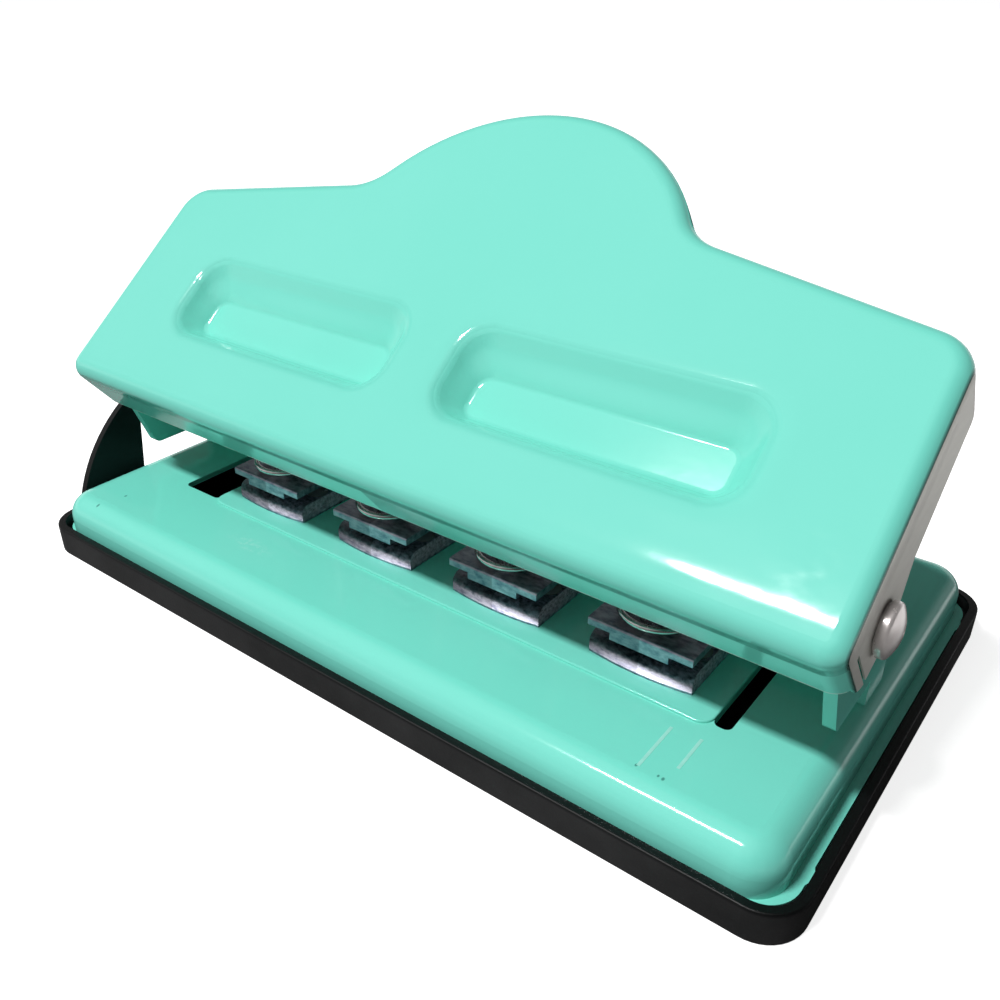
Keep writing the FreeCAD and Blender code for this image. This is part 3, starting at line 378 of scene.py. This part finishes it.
def sunkenRim(tree, out, depth):
    # Distance from a rectangle inside the rim, whose corners it rounds.
    long = (recess["outer"] - recess["inner"]) / 2 - recess["round"]
    short = (recess["back"] - recess["front"]) / 2 - recess["round"]
    behind = minus(tree, depth, (recess["front"] + recess["back"]) / 2)
    sides = larger(tree, minus(tree, unsigned(tree, out), long), 0.0)
    ends = larger(tree, minus(tree, unsigned(tree, behind), short), 0.0)
    reach = diagonal(tree, sides, ends)
    near = remap(tree, reach, recess["round"] + recess["soft"], recess["round"])
    return times(tree, near, near, -recess["sink"])


def shallowDent(tree, coords, x, depth):
    reach = diagonal(tree, minus(tree, x, dent["place"][0]), minus(tree, depth, dent["place"][1]))
    hollow = remap(tree, reach, *dent["reach"], 0, dent["height"], smooth=True)
    return times(tree, hollow, noise(tree, coords, *dent["noise"]))


def makeHandleEnamel():
    material, tree, shader, coords, colour, rough, normal = makeEnamel("handleEnamel")
    pivot = joints["handle_press"]["pos_m"]
    turn = math.radians(handle["tilt"])
    x = axes(tree, coords)["X"]
    rise = along(tree, coords, (0, -math.sin(turn), math.cos(turn)), pivot)
    depth = along(tree, coords, (0, math.cos(turn), math.sin(turn)), pivot)
    bare, metal, colour = bareFlanges(tree, coords, unsigned(tree, x), colour)
    # Painted highlight along the skirt's lower edge
    colour = mixColour(tree, paintedEdgeGlint(tree, coords, rise, depth), colour, edgeGlint["colour"])
    put(tree, shader.inputs["Base Color"], mixColour(tree, bare, colour, metal))
    put(tree, shader.inputs["Metallic"], times(tree, bare, flange["metal"]))
    out = minus(tree, unsigned(tree, x), (recess["inner"] + recess["outer"]) / 2)
    low = remap(tree, rise, recess["rim"], recess["floor"], smooth=True)
    shape = plus(tree, crownedFloor(tree, out, depth, low), softFront(tree, depth),
                 sunkenRim(tree, out, depth), shallowDent(tree, coords, x, depth))
    bump(tree, shader, shape, below=normal)
    painted = mixNumber(tree, low, rough, recess["roughness"])
    put(tree, shader.inputs["Roughness"], mixNumber(tree, bare, painted, flange["roughness"]))
    return material


# Moulded plastic of the tray, lighter in patches below the rim's top

plastic = {
    "colour": (0.002, 0.0025, 0.0025),
    "lowerTone": (0.036, 0.036, 0.037),
    "lowerToneTop": (0.0051, 0.0046),
    "lowerTonePatches": (34, 6, 0.62),
    "lowerToneRange": (0.2, 0.75),
    "roughness": (0.36, 0.5),
    "sheen": (55, 4),
    "sheenRange": (0.3, 0.7),
    "gloss": 0.22,
    "grain": (2600, 2),
    "grainBump": (0.5, 0.00004),
}


def makePlastic():
    material, tree, shader, coords = newMaterial("trayPlastic")
    patches = remap(tree, noise(tree, coords, *plastic["lowerTonePatches"]), *plastic["lowerToneRange"])
    lowerShare = times(tree, patches, remap(tree, axes(tree, coords)["Z"], *plastic["lowerToneTop"]))
    colour = mixColour(tree, lowerShare, plastic["colour"], plastic["lowerTone"])
    sheen = noise(tree, coords, *plastic["sheen"])
    rough = remap(tree, sheen, *plastic["sheenRange"], *plastic["roughness"])
    put(tree, shader.inputs["Base Color"], colour)
    put(tree, shader.inputs["Roughness"], rough)
    shader.inputs["Specular IOR Level"].default_value = plastic["gloss"]
    bump(tree, shader, noise(tree, coords, *plastic["grain"]), *plastic["grainBump"])
    return material


# Metals: streaks between a dark and a light tone, over a fine mottle

metals = {
    "zincPlate": {"colour": (0.68, 0.67, 0.76), "dark": (0.32, 0.32, 0.43), "metal": 1.0,
                  "roughness": (0.24, 0.46), "scale": 700, "stretch": (0.35, 1, 1),
                  "mottle": 1300, "depth": 0.00006},
    "toolSteel": {"colour": (0.56, 0.55, 0.54), "dark": (0.34, 0.33, 0.32), "metal": 1.0,
                  "roughness": (0.18, 0.34), "scale": 900, "stretch": (1, 1, 0.2),
                  "mottle": 1800, "depth": 0.00002},
    "springSteel": {"colour": (0.66, 0.67, 0.66), "dark": (0.36, 0.37, 0.36), "metal": 1.0,
                    "roughness": (0.14, 0.26), "scale": 500, "stretch": (1, 1, 1),
                    "mottle": 2400, "depth": 0.00001},
    "nickelRivet": {"colour": (0.74, 0.69, 0.67), "dark": (0.60, 0.55, 0.54), "metal": 0.45,
                    "roughness": (0.16, 0.3), "scale": 420, "stretch": (1, 1, 1),
                    "mottle": 1500, "depth": 0.00001},
    "dieZinc": {"colour": (0.72, 0.69, 0.79), "dark": (0.20, 0.20, 0.26), "metal": 1.0,
                "roughness": (0.34, 0.6), "scale": 1900, "stretch": (0.7, 1, 1),
                "mottle": 1500, "depth": 0.00013},
    "frameZinc": {"colour": (0.60, 0.58, 0.67), "dark": (0.20, 0.20, 0.28), "metal": 1.0,
                  "roughness": (0.30, 0.55), "scale": 1300, "stretch": (0.5, 1, 1),
                  "mottle": 1400, "depth": 0.00008},
}

metalGrain = {
    "streaks": (4, 0.6),  # detail and roughness
    "toneRange": (0.32, 0.68),
    "sheenRange": (0.3, 0.7),
    "mottleDetail": 2,
    "mottleStrength": 0.5,
}


def makeMetal(name):
    values = metals[name]
    material, tree, shader, coords = newMaterial(name)
    stretch = stretched(tree, coords, values["stretch"])
    streaks = noise(tree, stretch, values["scale"], *metalGrain["streaks"])
    tone = remap(tree, streaks, *metalGrain["toneRange"])
    colour = mixColour(tree, tone, values["dark"], values["colour"])
    rough = remap(tree, streaks, *metalGrain["sheenRange"], *values["roughness"])
    put(tree, shader.inputs["Base Color"], colour)
    put(tree, shader.inputs["Roughness"], rough)
    shader.inputs["Metallic"].default_value = values["metal"]
    mottle = noise(tree, coords, values["mottle"], metalGrain["mottleDetail"])
    normal = bump(tree, shader, mottle, metalGrain["mottleStrength"], values["depth"])
    return material, tree, shader, coords, colour, normal


# The front of each die and of the leg below it is rounded back, and its left half is darker.

unitFront = {"rounding": 49, "foot": 0.00035, "darker": 0.66, "seam": 0.00015}


def makeUnitZinc(name, low, high):
    # Between the heights low and high the fronts lean back.
    material, tree, shader, coords, colour, normal = makeMetal(name)
    place = axes(tree, coords)
    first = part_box("die_plate_1")
    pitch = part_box("die_plate_2")[0].x - first[0].x
    cell = minus(tree, place["X"], (first[0].x + first[1].x - pitch) / 2)
    cell = calc(tree, "FLOORED_MODULO", cell, pitch)
    right = remap(tree, cell, pitch / 2, pitch / 2 + unitFront["seam"])
    darker = mixColour(tree, unitFront["darker"], (0, 0, 0), colour)
    put(tree, shader.inputs["Base Color"], mixColour(tree, right, darker, colour))
    lift = remap(tree, place["Z"], low, high, 0, high - low)
    bump(tree, shader, times(tree, lift, -slope(unitFront["rounding"])), below=normal)
    return material


def assign(name, material):
    slots = nodes[name].material_slots
    for slot in slots:
        slot.material = material
    if not slots:
        nodes[name].data.materials.append(material)


plateEnamel = makePlateEnamel()
zincPlate = makeMetal("zincPlate")[0]
toolSteel = makeMetal("toolSteel")[0]
springSteel = makeMetal("springSteel")[0]
nickelRivet = makeMetal("nickelRivet")[0]
dieLow, dieHigh = (corner.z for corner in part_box("die_plate_1"))
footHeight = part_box("base_plate")[1].z + unitFront["foot"]
finishes = {
    "base_tray": makePlastic(),
    "base_plate": plateEnamel,
    "pivot_bracket": plateEnamel,
    "handle": makeHandleEnamel(),
    "punch_frame": makeUnitZinc("frameZinc", footHeight, dieLow),
    "die_plate": makeUnitZinc("dieZinc", dieLow, dieHigh),
    "paper_stop": zincPlate,
    "punch_pin": toolSteel,
    "spring_seat": zincPlate,
    "retaining_clip": springSteel,
    "return_spring": springSteel,
    "pivot_rivet": nickelRivet,
    "pivot_washer": nickelRivet,
    "unit_rivets": nickelRivet,
    "bracket_rivets": nickelRivet,
}
for nodeName in nodes:
    for start, finish in finishes.items():
        if nodeName.startswith(start):
            assign(nodeName, finish)
print("materials made")


def finishPiece(name, shape, material, body, smooth=True):
    bmesh.ops.recalc_face_normals(shape, faces=shape.faces)
    mesh = bpy.data.meshes.new(name)
    shape.to_mesh(mesh)
    shape.free()
    for face in mesh.polygons:
        face.use_smooth = smooth
    mesh.materials.append(material)
    piece = bpy.data.objects.new(name, mesh)
    scene.collection.objects.link(piece)
    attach(piece, body)
    return piece


# Return springs, one close turn at each end and open turns between

spring = {"wire": 0.001, "ringSides": 14, "turnSteps": 40, "openTurns": 6, "endPitch": 0.0015}


def makeSpring(number):
    name = f"return_spring_{number}"
    low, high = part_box(name)
    radius = (high.x - low.x - spring["wire"]) / 2
    centre = Vector(((low.x + high.x) / 2, (low.y + high.y) / 2, 0))
    height = high.z - low.z
    endPitch = spring["endPitch"]
    openPitch = (height - spring["wire"] - 2 * endPitch) / spring["openTurns"]
    shape = bmesh.new()
    upright = Matrix.Rotation(math.radians(90), 4, "X")
    place = Matrix.Translation(centre + Vector((radius, 0, low.z + spring["wire"] / 2)))
    bmesh.ops.create_circle(shape, segments=spring["ringSides"], radius=spring["wire"] / 2,
                            cap_ends=True, matrix=place @ upright)
    ring = list(shape.edges)
    for turns, pitch in ((1, endPitch), (spring["openTurns"], openPitch), (1, endPitch)):
        steps = spring["turnSteps"] * turns
        grown = bmesh.ops.spin(shape, geom=ring, cent=centre, axis=(0, 0, 1),
                               dvec=(0, 0, pitch * turns / steps), angle=math.tau * turns,
                               steps=steps, use_merge=False, use_duplicate=False)
        ring = [item for item in grown["geom_last"] if isinstance(item, bmesh.types.BMEdge)]
    bmesh.ops.holes_fill(shape, edges=ring, sides=0)
    piece = finishPiece(f"returnSpring{number}", shape, springSteel, "punch_base")
    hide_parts(name)
    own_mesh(piece)


for number in range(1, unitCount + 1):
    makeSpring(number)
print("springs wound")


# Margin marks on the base plate, two lines without lettering

marks = {
    "lines": ((0.0494, -0.0333, -0.0248), (0.0535, -0.0308, -0.0245)),  # x, front and back
    "width": 0.00045,
    "height": 0.00003,
    "platformRise": 0.0004,  # the plate lies this much lower than its platform
    "fade": (900, 4, 0.7),
    "worn": (0.25, 0.74, 0.63),
    "fresh": (0.45, 0.84, 0.76),
    "sheenRange": (0.3, 0.7),
    "roughness": (0.3, 0.5),
}


def makeMarks():
    shape = bmesh.new()
    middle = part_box("base_plate")[1].z - marks["platformRise"] + marks["height"] / 2
    for x, front, back in marks["lines"]:
        size = Matrix.Diagonal((marks["width"], back - front, marks["height"], 1))
        place = Matrix.Translation((x, (front + back) / 2, middle))
        bmesh.ops.create_cube(shape, size=1, matrix=place @ size)
    material, tree, shader, coords = newMaterial("markPaint")
    fade = noise(tree, coords, *marks["fade"])
    rough = remap(tree, fade, *marks["sheenRange"], *marks["roughness"])
    put(tree, shader.inputs["Base Color"], mixColour(tree, fade, marks["worn"], marks["fresh"]))
    put(tree, shader.inputs["Roughness"], rough)
    finishPiece("marginMarks", shape, material, "punch_base", smooth=False)


makeMarks()
print("marks printed")


# Floor: pale for every ray, with a little glow where the camera or a mirror sees it. Gloss meets it
# at full strength behind the punch and dimmer in front. A painted shadow darkens it along a strip
# at the right, and only mirrors see that shadow.

floorPaper = {
    "size": 6,
    "colour": 0.80,
    "bounce": 0.52,
    "glow": 0.80,
    "mirrorPlace": (-0.02, 0.08),
    "mirrored": (0.16, 1.0),
    "glossShadePlace": 0.080,
    "glossShadeReach": (0.002, 0.03),
    "glossShadeRange": (0.05, 1.0),
    "roughness": 0.9,
}


def seenShare(tree, mirrored):
    # How much of its white a background shows to each kind of ray, and whether it shows any.
    rays = tree.nodes.new("ShaderNodeLightPath").outputs
    direct = larger(tree, rays["Is Camera Ray"], rays["Is Transmission Ray"])
    gloss = times(tree, rays["Is Glossy Ray"], mirrored)
    return larger(tree, direct, gloss), larger(tree, direct, rays["Is Glossy Ray"])


def makeFloor():
    shape = bmesh.new()
    bmesh.ops.create_grid(shape, x_segments=1, y_segments=1, size=floorPaper["size"])
    mesh = bpy.data.meshes.new("floor")
    shape.to_mesh(mesh)
    shape.free()
    material, tree, shader, coords = newMaterial("floorPaper")
    x, y = axes(tree, coords)[:2]
    mirrored = remap(tree, y, *floorPaper["mirrorPlace"], *floorPaper["mirrored"], smooth=True)
    # Painted shadow along a strip of floor at the right, seen only by glossy rays
    glossShade = unsigned(tree, minus(tree, x, floorPaper["glossShadePlace"]))
    glossShade = remap(tree, glossShade, *floorPaper["glossShadeReach"], *floorPaper["glossShadeRange"], smooth=True)
    share, seen = seenShare(tree, times(tree, mirrored, glossShade))
    grey = mixNumber(tree, seen, floorPaper["bounce"], times(tree, share, floorPaper["colour"]))
    put(tree, shader.inputs["Base Color"], grey)
    shader.inputs["Roughness"].default_value = floorPaper["roughness"]
    shader.inputs["Specular IOR Level"].default_value = 0.0
    shader.inputs["Emission Color"].default_value = (1, 1, 1, 1)
    put(tree, shader.inputs["Emission Strength"], times(tree, share, floorPaper["glow"]))
    mesh.materials.append(material)
    floor = bpy.data.objects.new("floor", mesh)
    scene.collection.objects.link(floor)


# World: white where the camera sees it. Gloss sees it white low down and greyer overhead, with a
# halo round the softbox, and everything else gets a soft light from the bright side.

backdrop = {
    "rise": (0.12, 0.45),
    "shade": (1.0, 0.12),
    "brightSide": (-0.35, -0.45, 0.82),
    "ambientSpread": (0.45, 1.0),
    "ambient": (0.03, 0.42),
    "away": (-0.9, 0.436, 0.0),
    "awaySpread": (-0.8, 0.5),
    "mirrored": (0.05, 0.9),
    "haloSpread": (0.55, 0.95),
    "halo": (0.0, 0.7),
}


def makeWorld():
    world = bpy.data.worlds.new("studio")
    world.use_nodes = True
    tree = world.node_tree
    background = tree.nodes["Background"]
    way = tree.nodes.new("ShaderNodeTexCoord").outputs["Generated"]
    facing = along(tree, way, backdrop["brightSide"])
    ambient = remap(tree, facing, *backdrop["ambientSpread"], *backdrop["ambient"], smooth=True)
    halo = remap(tree, facing, *backdrop["haloSpread"], *backdrop["halo"], smooth=True)
    low = remap(tree, axes(tree, way)["Z"], *backdrop["rise"], *backdrop["shade"], smooth=True)
    away = along(tree, way, backdrop["away"])
    mirrored = remap(tree, away, *backdrop["awaySpread"], *backdrop["mirrored"], smooth=True)
    share, seen = seenShare(tree, times(tree, mirrored, low))
    strength = mixNumber(tree, seen, ambient, larger(tree, share, halo))
    background.inputs["Color"].default_value = (1, 1, 1, 1)
    put(tree, background.inputs["Strength"], strength)
    scene.world = world


# Softbox, a wide strip over the front left

softbox = {
    "aim": (0.02, -0.01, 0.035),
    "toward": (-0.215, -0.475, 0.853),
    "distance": 2.0,
    "size": (0.50, 0.11),
    "watts": 35,
}


def makeLamp():
    data = bpy.data.lights.new("softbox", "AREA")
    data.shape = "RECTANGLE"
    data.size, data.size_y = softbox["size"]
    data.energy = softbox["watts"]
    light = bpy.data.objects.new("softbox", data)
    toward = Vector(softbox["toward"]).normalized()
    across = (Vector((1, 0, 0)) - toward * toward.x).normalized()
    turn = Matrix((across, toward.cross(across), toward)).transposed().to_4x4()
    place = Vector(softbox["aim"]) + toward * softbox["distance"]
    light.matrix_world = Matrix.Translation(place) @ turn
    scene.collection.objects.link(light)


# Camera: it looks to the back, turned to the left, tipped down and rolled, in degrees.

camera = {
    "place": (0.089035, -0.112879, 0.096224),
    "turn": 37.406,
    "down": 29.415,
    "roll": -0.116,
    "lens": 35.129,
    "shift": (0.00222, 0.00574),
    "clip": 0.005,
}


def makeCamera():
    data = bpy.data.cameras.new("camera")
    data.lens = camera["lens"]
    data.clip_start = camera["clip"]
    data.shift_x, data.shift_y = camera["shift"]
    eye = bpy.data.objects.new("camera", data)
    turn = Matrix.Rotation(math.radians(camera["turn"]), 4, "Z")
    tip = Matrix.Rotation(math.radians(90 - camera["down"]), 4, "X")
    roll = Matrix.Rotation(math.radians(camera["roll"]), 4, "Z")
    eye.matrix_world = Matrix.Translation(camera["place"]) @ turn @ tip @ roll
    scene.collection.objects.link(eye)
    scene.camera = eye


makeFloor()
makeWorld()
makeLamp()
makeCamera()
scene.view_settings.view_transform = "Standard"
print("studio ready")
